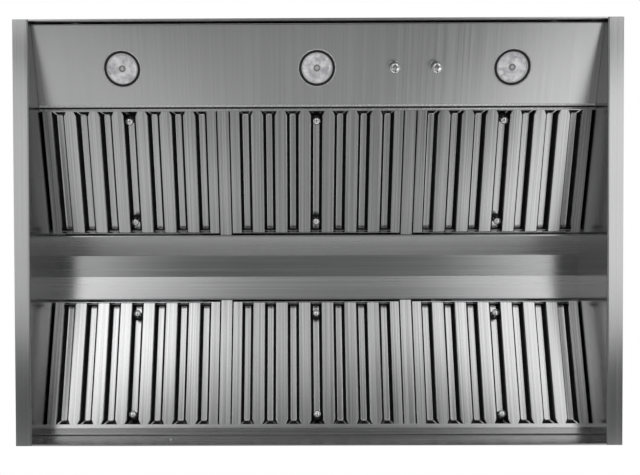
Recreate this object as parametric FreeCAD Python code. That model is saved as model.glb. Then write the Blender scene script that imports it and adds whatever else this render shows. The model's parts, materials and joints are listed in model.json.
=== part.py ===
import FreeCAD, Part
import math
import os

os.makedirs("parts", exist_ok=True)

# A range hood insert in millimetres. X runs to the right, Y to the rear and Z up.
# The origin is the centre of the open rim, and the rim lies on z = 0.

# ---- hood body ----
overall_width = 1026.0         # across the two side flanges
overall_depth = 720.0
body_height = 203.0            # rim to the top face of the deck
side_flange = 25.4
sheet = 1.2                    # stainless sheet of the body
bend = 1.5                     # inside radius of a fold
over = 1.0                     # cutting tools reach this far past a face
notch_gap = 0.5                # round the folds that pass through a notch
return_flange = 15.0           # folded edges under the deck and along seams
rim_hem = 10.0

# ---- light panel and front gutter ----
panel_gap = 2.8                # front wall to the fold of the panel
panel_front_z = 17.0
panel_depth = 135.0            # level distance from the front fold to the rear hem
panel_rise = 52.0
panel_side_clearance = 0.3
panel_hem = 11.0
hem_clearance = 0.15
bracket_inset = 14.0
lip_show = 6.5                 # lip seen past the panel's hem
seat_clearance = 0.3           # filter above its lip

# ---- baffle filters ----
filter_slope = 19.0
filter_width = 304.8
filter_thickness = 26.0
filter_pitch = 330.0
filters_per_row = 3
filter_sheet = 0.8
filter_overlap = 6.0           # filter beyond the edge of its lip
filter_end_gap = 3.2
gutter_clearance = 2.4
slot_count = 7
flat_width = 22.0
slot_width = 20.1
baffle_lip = 11.0              # sides of a lower baffle
cover_flat = 13.0              # under side of an upper baffle; its sides slope out and down from it
cover_drop = 15.0
cover_overhang = 6.0           # its feet past each side of a slot
frame_flange = 10.0
end_flange = 5.0
corner_clip = 4.5              # clipped corners at a lower baffle's lower end
clip_length = 9.5
pull_inset_upper = 22.0        # pull knobs from the two ends of a filter
pull_inset_lower = 24.0
pull_head = 13.0
pull_post = 6.0
pull_neck = 1.2                # top of the knob's shoulder
pull_face = 7.8
pull_proud = 4.0
pull_sides = 8

# ---- rear gutter and centre trough ----
rear_pivot_inset = 20.0        # rear face of the body to the edge of the rear lip
rear_pivot_z = 88.8
rear_lip_run = 6.5
trough_front_run = 38.8        # level runs of the channel's front slope, flat and rear slope
trough_flat_depth = 39.0
trough_rear_run = 43.3
trough_rise = 23.9             # its front edge to its flat
trough_upstand = 21.0
mullion_width = 20.0
mullion_height = 12.0
mullion_end = 2.0              # its ends short of the filters' ends
catch_width = 14.0
catch_sheet = 0.6
catch_foot = 6.0               # flat foot of the leaf on the upstand
catch_gap = 2.2                # nose to the filter's end
catch_nose_height = 14.3
catch_drop = 6.0               # nose to the free tip
catch_offset = 85.0            # catches either side of a filter's middle

# ---- lamps and controls ----
lamp_spacing = 336.0
lamp_setback = 72.0            # panel's front fold to the lamps
trim_diameter = 66.0
trim_proud = 2.0
trim_opening = 54.0
trim_bevel = 1.8
trim_lip = 0.8
lamp_sides = 20                # flats that stand for the lamps' round edges
glass_diameter = 52.0
glass_thickness = 3.0
glass_recess = 1.0
lamp_hole = 60.0
can_fit = 3.0                  # can smaller than the panel's hole
can_wall = 1.0
can_lip = 2.0                  # inner lip under the glass's edge
can_height = 42.0
reflector_fit = 0.3
reflector_wall = 1.0
reflector_swell = 3.0          # how far its side bows out at half height
reflector_neck = 26.0
led_diameter = 30.0
led_thickness = 4.0
fan_knob_x = 133.0
light_knob_x = 205.0
knob_setback = 70.0
knob_diameter = 17.6
knob_height = 17.0
knob_sides = 24
knob_lift = 2.0                # under the panel
knob_bevel = 1.5
socket_depth = 11.0
mark_width = 1.0
mark_length = 5.7
small_sides = 12               # flats that stand for the round edges of small hidden pieces
shaft_diameter = 6.0
shaft_fit = 0.05               # radial running clearance
bush_diameter = 9.0
bush_proud = 1.6
nut_across = 14.0
nut_height = 1.4
switch_size = 30.0
switch_depth = 22.0
switch_bore = 17.6
shaft_reach = 15.4             # shaft into the switch
tab_width = 4.0
tab_depth = 6.0
tab_length = 7.0
tab_pitch = 8.0

# ---- blower ----
box_width = 460.0
box_depth = 300.0
box_height = 225.0
box_sheet = 1.0
box_flange = 18.0
opening_inset = 12.0           # deck opening inside the blower box
wheel_diameter = 140.0
wheel_width = 84.0
wheel_inner = 112.0
blade_count = 18
blade_sheet = 1.0
ring_height = 2.0
blade_lean = 9.0
blade_inset = 1.2              # blade tips inside the rings' edge
blade_overlap = 1.0            # rings and centre plate past the blades' inner edge
hub_diameter = 28.0
hub_length = 24.0
plate_height = 2.0
wheel_axis_lift = 100.0        # deck to the shaft
rotor_shaft = 10.0
rotor_fit = 0.05
rotor_end_gap = 10.0           # shaft ends inside the scrolls
motor_diameter = 108.0
motor_length = 92.0
motor_sides = 16
motor_nose = 32.0              # bearing boss on each end
motor_boss = 36.0
boss_length = 8.0
motor_shoulder = 12.0
motor_dome = 22.0              # length of each domed end
strap_inset = 6.0
strap_width = 16.0
strap_sheet = 2.0
strap_foot = 14.0
scroll_start = 77.0            # scroll radius at its tongue
scroll_growth = 18.0
scroll_sheet = 0.8
scroll_gap = 12.0              # motor to scroll
scroll_room = 6.0              # wheel to each side of its scroll
scroll_steps = 12
tongue_y = 12.0
plenum_height = 34.0           # discharge plate to lid
inlet_diameter = 116.0
can_sides = 16                 # inlets and the capacitor
capacitor_diameter = 30.0
capacitor_length = 40.0
capacitor_lift = 50.0          # rotor to the can
capacitor_stand = 22.5         # wall to the can's axis
capacitor_foot = 16.0

# ---- duct collar and dampers ----
collar_diameter = 254.0
collar_height = 50.0
collar_sheet = 0.8
collar_flange = 12.0
collar_sides = 36
lid_margin = 4.0               # lid's hole outside the collar
lid_sides = 24
pin_sides = 8
pin_fit = 0.3
stop_length = 7.0
stop_width = 20.0
stop_sheet = 1.2
stop_gap = 0.6                 # stop to the shut flap
damper_rod = 5.0
damper_fit = 0.05
damper_knuckle = 8.4
damper_sheet = 0.8
damper_lift = 16.0             # lid to the damper rod
damper_rim_gap = 2.6
knuckle_gap = 0.8              # knuckles to the flap's straight edge
knuckle_length = 42.0
knuckle_pitch = 100.0
knuckle_start = 96.0
knuckle_shift = 50.0           # rear flap's knuckles from the front flap's
knuckle_leaf = 4.0

# ---- wiring box and fixings ----
wiring_box = 100.0
wiring_box_height = 52.0
wiring_box_sheet = 1.0
wiring_box_lip = 10.0
wiring_box_inset_x = 117.6
wiring_box_inset_y = 120.0
cable_hole = 22.2
hanging_hole = 8.0
hanging_inset_x = 37.6
hanging_inset_y = 48.0
screw_head = 8.0
screw_head_height = 2.6
screw_inset = 8.5              # from the body's edges
rear_screw_x = -256.0
rear_screw_z = 45.0

# ---- places worked out from the sizes ----
half_depth = overall_depth / 2
wall_out_x = overall_width / 2 - side_flange
wall_in_x = wall_out_x - sheet
wall_in_y = half_depth - sheet
deck_under = body_height - sheet
panel_slope = math.degrees(math.atan2(panel_rise, panel_depth))
panel_front_y = -wall_in_y + panel_gap
panel_rear_y = panel_front_y + panel_depth
panel_rear_z = panel_front_z + panel_rise
slope = math.radians(filter_slope)
hem_stack = 2 * sheet / math.cos(math.radians(panel_slope)) + hem_clearance
lip_stack = (sheet + seat_clearance) / math.cos(slope) + lip_show * math.tan(slope)
front_pivot = (panel_rear_y + lip_show, panel_rear_z + hem_stack + lip_stack)
rear_pivot = (half_depth - rear_pivot_inset, rear_pivot_z)
gutter_run = filter_overlap * math.cos(slope) + filter_thickness * math.sin(slope)
partition_y = front_pivot[0] - gutter_run - gutter_clearance
trough_width = trough_front_run + trough_flat_depth + trough_rear_run
trough_reach = (rear_pivot[0] - front_pivot[0] - trough_width) / (2 * math.cos(slope))
filter_reach = trough_reach - filter_end_gap
rail_flange = (filter_width - (slot_count - 1) * flat_width - slot_count * slot_width) / 2
slot_pitch = flat_width + slot_width
trough_front = (front_pivot[0] + trough_reach * math.cos(slope),
                front_pivot[1] + trough_reach * math.sin(slope))
trough_rear = (rear_pivot[0] - trough_reach * math.cos(slope),
               rear_pivot[1] + trough_reach * math.sin(slope))
trough_flat_front = trough_front[0] + trough_front_run
trough_flat_rear = trough_flat_front + trough_flat_depth
trough_z = trough_front[1] + trough_rise
lamp_y = panel_front_y + lamp_setback
lamp_spots = [i * lamp_spacing for i in (-1, 0, 1)]
knob_y = panel_front_y + knob_setback
box_y = (trough_front[0] + trough_rear[0]) / 2
wiring_box_x = wiring_box_inset_x - wall_out_x
wiring_box_y = half_depth - wiring_box_inset_y
rotor_z = body_height + wheel_axis_lift
box_top = body_height + box_height
plate_z = box_top - plenum_height
scroll_inner_x = motor_length / 2 + scroll_gap
scroll_width = wheel_width + 2 * scroll_room
lid_top = box_top + box_sheet
damper_z = lid_top + damper_lift
can_outer = lamp_hole - can_fit
glass_back = glass_recess + glass_thickness
up = FreeCAD.Vector(0, 0, 1)
origin = FreeCAD.Vector(0, 0, 0)


def vec(x, y, z):
    return FreeCAD.Vector(x, y, z)


def block(x0, x1, y0, y1, z0, z1):
    return Part.makeBox(x1 - x0, y1 - y0, z1 - z0, vec(x0, y0, z0))


def rod(start, end, diameter):
    axis = end.sub(start)
    return Part.makeCylinder(diameter / 2, axis.Length, start, axis)


def prism(points, push):
    outline = Part.makePolygon(points + [points[0]])
    return Part.Face(outline).extrude(push)


def prism_x(profile, x0, x1):
    return prism([vec(x0, y, z) for y, z in profile], vec(x1 - x0, 0, 0))


def regular(sides, radius, height):
    """Corners of a regular outline about the Z axis."""
    angles = [2 * math.pi * i / sides for i in range(sides)]
    return [vec(radius * math.cos(a), radius * math.sin(a), height) for a in angles]


def many_sided(sides, radius, h0, h1):
    return prism(regular(sides, radius, h0), vec(0, 0, h1 - h0))


def outside(radius, sides):
    """Corner radius whose flats stay outside the round piece that they hold."""
    return radius / math.cos(math.pi / sides)


def faceted(profile, sides):
    """Solid about the Z axis from (radius, height) points, with flat sides that keep it light."""
    levels = [regular(sides, r, h) for r, h in profile]
    faces = []
    for k, low in enumerate(levels):
        high = levels[(k + 1) % len(levels)]
        if profile[k][0] == 0 and profile[(k + 1) % len(profile)][0] == 0:
            continue
        for i in range(sides):
            j = (i + 1) % sides
            corners = [low[i], low[j], high[j], high[i]]
            if profile[k][0] == 0:
                corners = [low[i], high[j], high[i]]
            elif profile[(k + 1) % len(profile)][0] == 0:
                corners = [low[i], low[j], high[j]]
            faces.append(Part.Face(Part.makePolygon(corners + [corners[0]])))
    body = Part.Solid(Part.Shell(faces))
    if body.Volume < 0:
        body.reverse()
    return body.removeSplitter()


def direction(a, b):
    length = math.hypot(b[0] - a[0], b[1] - a[1])
    return ((b[0] - a[0]) / length, (b[1] - a[1]) / length)


def offset_path(path, gauge):
    """The same path moved to its left by the gauge, with mitred corners."""
    steps = [direction(path[i], path[i + 1]) for i in range(len(path) - 1)]
    sides = [(-dz, dy) for dy, dz in steps]
    moved = [(path[0][0] + gauge * sides[0][0], path[0][1] + gauge * sides[0][1])]
    for i in range(1, len(steps)):
        a = sides[i - 1]
        b = sides[i]
        share = gauge / (1 + a[0] * b[0] + a[1] * b[1])
        moved.append((path[i][0] + share * (a[0] + b[0]), path[i][1] + share * (a[1] + b[1])))
    moved.append((path[-1][0] + gauge * sides[-1][0], path[-1][1] + gauge * sides[-1][1]))
    return moved


def bent_edges(path, radii, place):
    """Edges of an open path whose inner corners are rounded."""
    edges = []
    start = path[0]
    for i in range(1, len(path) - 1):
        a = direction(path[i - 1], path[i])
        b = direction(path[i], path[i + 1])
        turn = math.acos(max(-1.0, min(1.0, a[0] * b[0] + a[1] * b[1])))
        reach = radii[i] * math.tan(turn / 2)
        first = (path[i][0] - a[0] * reach, path[i][1] - a[1] * reach)
        last = (path[i][0] + b[0] * reach, path[i][1] + b[1] * reach)
        inward = direction((0, 0), (b[0] - a[0], b[1] - a[1]))
        drop = radii[i] / math.cos(turn / 2) - radii[i]
        middle = (path[i][0] + inward[0] * drop, path[i][1] + inward[1] * drop)
        edges.append(Part.LineSegment(place(start), place(first)).toShape())
        edges.append(Part.Arc(place(first), place(middle), place(last)).toShape())
        start = last
    edges.append(Part.LineSegment(place(start), place(path[-1])).toShape())
    return edges


def folded(path, gauge, place, push):
    """Folded sheet: the path is one face and the metal lies to its left."""
    moved = offset_path(path, gauge)
    near = [0.0]
    far = [0.0]
    for i in range(1, len(path) - 1):
        a = direction(path[i - 1], path[i])
        b = direction(path[i], path[i + 1])
        left_turn = a[0] * b[1] - a[1] * b[0] > 0
        near.append(bend + gauge if left_turn else bend)
        far.append(bend if left_turn else bend + gauge)
    edges = bent_edges(path, near + [0.0], place)
    back = bent_edges(moved, far + [0.0], place)
    edges.append(Part.LineSegment(place(path[-1]), place(moved[-1])).toShape())
    edges += back[::-1]
    edges.append(Part.LineSegment(place(moved[0]), place(path[0])).toShape())
    outline = Part.Wire(Part.__sortEdges__(edges))
    return Part.Face(outline).extrude(push)


def folded_x(path, gauge, x0, x1):
    return folded(path, gauge, lambda p: vec(x0, p[0], p[1]), vec(x1 - x0, 0, 0))


def fused(shapes):
    return shapes[0].multiFuse(shapes[1:]).removeSplitter()


def turned_round(shape):
    copy = shape.copy()
    copy.rotate(origin, up, 180)
    return copy


# ---- screw heads ----

def deck_screw_spots():
    spots = []
    for side in (-1, 1):
        for share in (-0.7, 0.0, 0.7):
            spots.append((share * wall_out_x, side * (half_depth - screw_inset), body_height))
        for share in (-0.5, 0.5):
            spots.append((side * (wall_out_x - screw_inset), share * half_depth, body_height))
    return spots


def box_screw_spots():
    spots = []
    edge = box_flange / 2
    top = body_height + box_sheet
    for side in (-1, 1):
        for share in (-0.6, 0.6):
            spots.append((share * box_width / 2, box_y + side * (box_depth / 2 + edge), top))
        spots.append((side * (box_width / 2 + edge), box_y, top))
    return spots


def screw_top():
    return many_sided(6, screw_head / 2, 0, screw_head_height)


def body_screws():
    """Heads on the deck and the blower box's skirt, and the one seen inside the rear wall."""
    heads = []
    for x, y, z in deck_screw_spots() + box_screw_spots():
        head = screw_top()
        head.translate(vec(x, y, z))
        heads.append(head)
    rear = screw_top()
    rear.rotate(origin, vec(1, 0, 0), 90)
    rear.translate(vec(rear_screw_x, wall_in_y, rear_screw_z))
    return heads + [rear]


# ---- body sheets ----

def side_panel():
    """Left side: flange outwards at the rim, wall, and a return under the deck."""
    path = [(-wall_in_x + return_flange, deck_under), (-wall_out_x, deck_under),
            (-wall_out_x, sheet), (-wall_out_x - side_flange, sheet)]
    wall = folded(path, sheet, lambda p: vec(p[0], -half_depth, p[1]), vec(0, overall_depth, 0))
    tools = []
    for side in (-1, 1):
        edge = side * half_depth
        inner = edge - side * (return_flange + sheet)
        tools.append(block(-wall_in_x, -wall_in_x + return_flange + over, min(edge, inner), max(edge, inner),
                           deck_under - sheet - bend - notch_gap, body_height))
    return wall.cut(tools)


def end_panel():
    """Front wall, or turned round the rear one: hemmed at the rim, with a return under the deck."""
    path = [(-wall_in_y + return_flange, deck_under), (-half_depth, deck_under), (-half_depth, 0.0)]
    wall = folded_x(path, sheet, -wall_in_x, wall_in_x)
    hem = block(-wall_in_x, wall_in_x, -wall_in_y, -wall_in_y + sheet, 0.0, rim_hem)
    return wall.fuse(hem).removeSplitter()


def top_deck():
    deck = block(-wall_out_x, wall_out_x, -half_depth, half_depth, deck_under, body_height)
    hole_x = box_width / 2 - opening_inset
    hole_y = box_depth / 2 - opening_inset
    tools = [block(-hole_x, hole_x, box_y - hole_y, box_y + hole_y, deck_under - over, body_height + over)]
    for x in (-1, 1):
        for y in (-1, 1):
            spot = vec(x * (wall_out_x - hanging_inset_x), y * (half_depth - hanging_inset_y), 0)
            tools.append(rod(spot + up * (deck_under - over), spot + up * (body_height + over), hanging_hole))
    feed = many_sided(small_sides, cable_hole / 2, deck_under - over, body_height + over)
    feed.translate(vec(wiring_box_x, wiring_box_y, 0))
    return deck.cut(tools + [feed])


def on_panel(shape, x, y):
    """Carries a shape from the origin to the under face of the light panel."""
    shape.rotate(origin, vec(1, 0, 0), panel_slope)
    shape.translate(vec(x, y, panel_front_z + (y - panel_front_y) * panel_rise / panel_depth))
    return shape


def light_panel():
    half = wall_in_x - panel_side_clearance
    fold_top = panel_front_z + return_flange
    path = [(panel_rear_y, panel_rear_z), (panel_front_y, panel_front_z), (panel_front_y, fold_top)]
    skin = folded_x(path[::-1], sheet, -half, half)
    along = math.radians(panel_slope)
    hem_end = (panel_rear_y - panel_hem * math.cos(along), panel_rear_z - panel_hem * math.sin(along))
    lift = (-sheet * math.sin(along), sheet * math.cos(along))
    hem = prism_x([(p[0] + k * lift[0], p[1] + k * lift[1])
                   for p, k in (((panel_rear_y, panel_rear_z), 1), ((panel_rear_y, panel_rear_z), 2),
                                (hem_end, 2), (hem_end, 1))], -half, half)
    reach = sheet + over
    tools = [on_panel(many_sided(lamp_sides, lamp_hole / 2, -over, reach), x, lamp_y) for x in lamp_spots]
    for x in (fan_knob_x, light_knob_x):
        tools.append(on_panel(many_sided(small_sides, bush_diameter / 2, -over, reach), x, knob_y))
    return skin.fuse(hem).removeSplitter().cut(tools)


def panel_brackets():
    """Angle strips that carry the two ends of the light panel on the side walls."""
    bodies = []
    for side in (-1, 1):
        x = side * wall_in_x
        inner = x - side * return_flange
        lower = []
        for y in (panel_front_y + bracket_inset, panel_rear_y - 2 * bracket_inset):
            lower.append((y, panel_front_z + (y - panel_front_y) * panel_rise / panel_depth))
        along = math.radians(panel_slope)
        seat = [(y - sheet * math.sin(along), z + sheet * math.cos(along)) for y, z in lower]
        top = [(y - 2 * sheet * math.sin(along), z + 2 * sheet * math.cos(along)) for y, z in lower]
        foot = prism_x(seat + top[::-1], min(x, inner), max(x, inner))
        tall = [(y - return_flange * math.sin(along), z + return_flange * math.cos(along)) for y, z in seat]
        wall = prism_x(seat + tall[::-1], min(x, x - side * sheet), max(x, x - side * sheet))
        bodies.append(foot.fuse(wall).removeSplitter())
    return bodies


def along_front(s, n):
    """Front row plane: s up the slope from the lip's edge, n square to it."""
    return (front_pivot[0] + s * math.cos(slope) - n * math.sin(slope),
            front_pivot[1] + s * math.sin(slope) + n * math.cos(slope))


def along_rear(s, n):
    return (rear_pivot[0] - s * math.cos(slope) + n * math.sin(slope),
            rear_pivot[1] + s * math.sin(slope) + n * math.cos(slope))


def light_partition():
    tip = along_front(0, -seat_clearance)
    foot = (partition_y, tip[1] - (tip[0] - partition_y) * math.tan(slope))
    path = [tip, foot, (partition_y, deck_under), (partition_y - return_flange, deck_under)]
    wall = folded_x(path, sheet, -wall_in_x, wall_in_x)
    notches = []
    for side in (-1, 1):
        edge = side * wall_in_x
        inner = edge - side * (return_flange + panel_side_clearance)
        notches.append(block(min(edge, inner), max(edge, inner), partition_y - 2 * return_flange,
                             partition_y + over, deck_under - sheet - bend - notch_gap, body_height))
    return wall.cut(notches)


def rear_gutter():
    tip = along_rear(0, -seat_clearance)
    low = along_rear(-rear_lip_run, -seat_clearance)
    wall_face = wall_in_y - sheet
    path = [(wall_face, low[1] + return_flange), (wall_face, low[1]), low, tip]
    return folded_x(path, sheet, -wall_in_x, wall_in_x)


def centre_trough():
    path = [(trough_rear[0], trough_rear[1] + trough_upstand), trough_rear,
            (trough_flat_rear, trough_z), (trough_flat_front, trough_z), trough_front,
            (trough_front[0], trough_front[1] + trough_upstand)]
    return folded_x(path[::-1], sheet, -wall_in_x, wall_in_x)


def mullion(x):
    half = mullion_width / 2
    lower_end = along_front(mullion_end - filter_overlap, -seat_clearance)
    upper_end = along_front(trough_reach, -seat_clearance)
    corner_z = upper_end[1] + (trough_front[0] - upper_end[0]) * math.tan(slope)
    path = [lower_end, (trough_front[0], corner_z), (trough_front[0], corner_z + trough_upstand / 2)]
    skin = prism_x(path + offset_path(path, filter_sheet)[::-1], x - half, x + half)
    s0 = filter_overlap + mullion_end
    s1 = filter_reach - filter_overlap
    n0 = filter_sheet - seat_clearance
    legs = []
    for side in (-1, 1):
        edge = x + side * half
        inner = edge - side * filter_sheet
        profile = [along_front(s0, n0), along_front(s1, n0),
                   along_front(s1, mullion_height), along_front(s0, mullion_height)]
        legs.append(prism_x(profile, min(edge, inner), max(edge, inner)))
    return fused([skin] + legs)


def filter_mullions():
    spots = [(i + 0.5) * filter_pitch for i in range(-1, filters_per_row - 2)]
    front = [mullion(x) for x in spots]
    shift = vec(0, rear_pivot[0] + front_pivot[0], rear_pivot[1] - front_pivot[1])
    rear = []
    for body in front:
        other = turned_round(body)
        other.translate(shift)
        rear.append(other)
    return front + rear


def row_offsets():
    return [(i - (filters_per_row - 1) / 2) * filter_pitch for i in range(filters_per_row)]


def catch_spring(x):
    """Leaf on the trough's upstand that bears on the upper end of a filter."""
    face = trough_front[0]
    top = trough_front[1] + trough_upstand
    nose = along_front(filter_reach + catch_gap, catch_nose_height)
    path = [(face, top), (face, top - catch_foot), nose, (face - catch_sheet, nose[1] - catch_drop)]
    half = catch_width / 2
    moved = offset_path(path, -catch_sheet)
    return prism_x(path + moved[::-1], x - half, x + half)


def filter_catches():
    bodies = []
    shift = vec(0, rear_pivot[0] + front_pivot[0], rear_pivot[1] - front_pivot[1])
    for x in row_offsets():
        for side in (-1, 1):
            front = catch_spring(x + side * catch_offset)
            rear = turned_round(front)
            rear.translate(shift)
            bodies += [front, rear]
    return bodies


# ---- one baffle filter, lying flat: x across, y from the lip's edge to the trough, z up ----

def filter_frame():
    half = filter_width / 2
    y0 = -filter_overlap
    y1 = filter_reach
    t = filter_thickness
    g = filter_sheet
    pieces = []
    for side in (-1, 1):
        outer = side * half
        profile = [(outer, 0), (outer - side * rail_flange, 0), (outer - side * rail_flange, baffle_lip),
                   (outer - side * (rail_flange - g), baffle_lip), (outer - side * (rail_flange - g), g),
                   (outer - side * g, g), (outer - side * g, t - g), (outer - side * frame_flange, t - g),
                   (outer - side * frame_flange, t), (outer, t)]
        pieces.append(prism([vec(x, y0, z) for x, z in profile], vec(0, y1 - y0, 0)))
    inner = half - g
    lower = [(y0, 0), (y0 + end_flange, 0), (y0 + end_flange, g), (y0 + g, g), (y0 + g, t - g),
             (y0 + frame_flange, t - g), (y0 + frame_flange, t), (y0, t)]
    upper = [(y1, 0), (y1, t), (y1 - frame_flange, t), (y1 - frame_flange, t - g), (y1 - g, t - g),
             (y1 - g, 0)]
    pieces.append(prism_x(lower, -inner, inner))
    pieces.append(prism_x(upper, -inner, inner))
    return fused(pieces)


def lower_baffle(x):
    """One U-shaped baffle with its flat down and the flat's outer corners clipped."""
    g = filter_sheet
    half = flat_width / 2
    y0 = -filter_overlap + g
    y1 = filter_reach - g
    profile = [(-half, 0), (half, 0), (half, baffle_lip), (half - g, baffle_lip), (half - g, g),
               (g - half, g), (g - half, baffle_lip), (-half, baffle_lip)]
    body = prism([vec(x + a, y0, g + b) for a, b in profile], vec(0, y1 - y0, 0))
    clips = []
    for side in (-1, 1):
        edge = x + side * (half + over)
        inner = x + side * (half - corner_clip)
        clips.append(prism([vec(edge, y0 - over, 0), vec(inner, y0 - over, 0), vec(inner, y0, 0),
                            vec(edge, y0 + clip_length, 0)], vec(0, 0, baffle_lip + g + over)))
    return body.cut(clips)


def upper_baffle(x):
    """One inverted channel that covers a slot; its sides slope down into the lower baffles."""
    g = filter_sheet
    foot = slot_width / 2 + cover_overhang
    half = cover_flat / 2
    under = filter_thickness - 2 * g
    y0 = -filter_overlap + g
    y1 = filter_reach - g
    path = [(-foot, under - cover_drop), (-half, under), (half, under), (foot, under - cover_drop)]
    profile = path + offset_path(path, g)[::-1]
    return prism([vec(x + a, y0, b) for a, b in profile], vec(0, y1 - y0, 0))


def filter_baffles():
    middle = (slot_count - 1) / 2
    lower = [lower_baffle((i - middle + 0.5) * slot_pitch) for i in range(slot_count - 1)]
    upper = [upper_baffle((i - middle) * slot_pitch) for i in range(slot_count)]
    return lower + upper


def pull_knob(y):
    top = filter_thickness - 2 * filter_sheet
    r = pull_head / 2
    profile = [(0, top), (pull_post / 2, top), (pull_post / 2, pull_neck), (r, 0), (r, -pull_proud / 2),
               (pull_face / 2, -pull_proud), (0, -pull_proud)]
    knob = faceted(profile, pull_sides)
    knob.translate(vec(0, y, 0))
    return knob


def filter_pulls():
    return [pull_knob(pull_inset_lower - filter_overlap), pull_knob(filter_reach - pull_inset_upper)]


def seat_filter(shapes, x, rear):
    """Tilts flat filter pieces to the row's slope and sets them on their lip."""
    seated = []
    for shape in shapes:
        copy = shape.copy()
        copy.rotate(origin, vec(1, 0, 0), filter_slope)
        if rear:
            copy.rotate(origin, up, 180)
            copy.translate(vec(x, rear_pivot[0], rear_pivot[1]))
        else:
            copy.translate(vec(x, front_pivot[0], front_pivot[1]))
        seated.append(copy)
    return seated


# ---- lamps ----

def lamp_trim():
    r = trim_diameter / 2
    inner = trim_opening / 2
    return faceted([(inner, 0.0), (inner + trim_lip, -trim_proud), (r - trim_bevel, -trim_proud), (r, 0.0)],
                   lamp_sides)


def lamp_glass():
    r = glass_diameter / 2
    return many_sided(lamp_sides, r, glass_recess, glass_back)


def lamp_can():
    """Deep cup that stands on the back of its trim; an inner lip holds the glass."""
    r = can_outer / 2
    inner = r - can_wall
    lip = glass_diameter / 2 - can_lip
    top = glass_back + can_height
    return faceted([(inner, 0.0), (r, 0.0), (r, top), (0, top), (0, top - can_wall), (inner, top - can_wall),
                    (inner, glass_back + can_wall), (lip, glass_back + can_wall), (lip, glass_back),
                    (inner, glass_back)], lamp_sides // 2)


def lamp_reflector():
    """Open cup between the glass and the light source."""
    base = glass_back + can_wall
    top = glass_back + can_height - can_wall - led_thickness
    outer = can_outer / 2 - can_wall - reflector_fit
    neck = reflector_neck / 2
    middle = (neck + outer) / 2 + reflector_swell
    half = (base + top) / 2
    wall = reflector_wall
    return faceted([(outer - wall, base), (outer, base), (middle + wall, half), (neck + wall, top),
                    (neck, top), (middle, half)], lamp_sides // 2)


def lamp_led():
    top = glass_back + can_height - can_wall
    return many_sided(small_sides, led_diameter / 2, top - led_thickness, top)


# ---- controls ----

def control_knob():
    r = knob_diameter / 2
    low = -knob_lift - knob_height
    body = faceted([(0, low), (r - knob_bevel, low), (r, low + knob_bevel), (r, -knob_lift), (0, -knob_lift)],
                   knob_sides)
    socket = many_sided(small_sides, shaft_diameter / 2, -knob_lift - socket_depth, 0)
    mark = block(-mark_width / 2, mark_width / 2, r - mark_length, r + over, low - over, low + mark_width)
    return body.cut([socket, mark])


def control_shaft():
    return many_sided(small_sides, shaft_diameter / 2, -knob_lift - socket_depth, sheet + shaft_reach)


def control_switch():
    """Rotary switch behind the panel with its bush and nut."""
    half = switch_size / 2
    back = sheet + switch_depth
    case = block(-half, half, -half, half, sheet, back)
    bush = many_sided(small_sides, bush_diameter / 2, -bush_proud, sheet)
    nut = many_sided(6, nut_across / 2, -nut_height, 0)
    bore = many_sided(small_sides, outside(shaft_diameter / 2 + shaft_fit, small_sides), -bush_proud - over,
                      sheet + switch_bore)
    tabs = [block(x - tab_width / 2, x + tab_width / 2, -tab_depth / 2, tab_depth / 2, back, back + tab_length)
            for x in (-tab_pitch, 0, tab_pitch)]
    return fused([case, bush, nut] + tabs).cut(bore)


# ---- blower ----

def blower_box():
    x = box_width / 2
    y0 = box_y - box_depth / 2
    y1 = box_y + box_depth / 2
    z0 = body_height
    outer = block(-x, x, y0, y1, z0, box_top)
    inner = block(box_sheet - x, x - box_sheet, y0 + box_sheet, y1 - box_sheet, z0 - over, box_top + over)
    skirt = block(-x - box_flange, x + box_flange, y0 - box_flange, y1 + box_flange, z0, z0 + box_sheet)
    rim = block(-x, x, y0, y1, box_top - box_sheet, box_top)
    rim_hole = block(return_flange - x, x - return_flange, y0 + return_flange, y1 - return_flange,
                     box_top - box_sheet - over, box_top + over)
    return outer.fuse(skirt).cut(inner).fuse(rim.cut(rim_hole)).removeSplitter()


def blower_lid():
    x = box_width / 2
    y0 = box_y - box_depth / 2
    plate = block(-x, x, y0, y0 + box_depth, box_top, lid_top)
    hole = many_sided(lid_sides, collar_diameter / 2 + lid_margin, box_top - over, lid_top + over)
    hole.translate(vec(0, box_y, 0))
    lips = []
    for side in (-1, 1):
        edge = side * x
        outside = edge + side * box_sheet
        lips.append(block(min(edge, outside), max(edge, outside), y0, y0 + box_depth,
                          box_top - return_flange, lid_top))
    return fused([plate] + lips).cut(hole)


def discharge_plate():
    x = box_width / 2 - box_sheet
    y0 = box_y - box_depth / 2 + box_sheet
    y1 = box_y + box_depth / 2 - box_sheet
    plate = block(-x, x, y0, y1, plate_z, plate_z + box_sheet)
    tools = []
    for side in (-1, 1):
        a = side * (scroll_inner_x + scroll_sheet)
        b = side * (scroll_inner_x + scroll_width - scroll_sheet)
        tools.append(block(min(a, b), max(a, b), box_y + tongue_y + scroll_sheet,
                           box_y + scroll_start + scroll_growth - scroll_sheet,
                           plate_z - over, plate_z + box_sheet + over))
    flanges = [block(-x, x, y0, y0 + box_sheet, plate_z, plate_z + return_flange),
               block(-x, x, y1 - box_sheet, y1, plate_z, plate_z + return_flange)]
    return fused([plate] + flanges).cut(tools)


def scroll_outline(inset):
    """Growing spiral that ends in a straight outlet, as (y, z) points."""
    start = math.acos(tongue_y / scroll_start)
    sweep = 2 * math.pi - start
    points = []
    for i in range(scroll_steps + 1):
        share = i / scroll_steps
        radius = scroll_start + scroll_growth * share - inset
        angle = start + sweep * share
        points.append((box_y + radius * math.cos(angle), rotor_z + radius * math.sin(angle)))
    points.append((points[-1][0], plate_z))
    points.append((box_y + tongue_y + inset, plate_z))
    if inset > 0:
        points.append((box_y + tongue_y + inset, points[0][1]))
    return points


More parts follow.
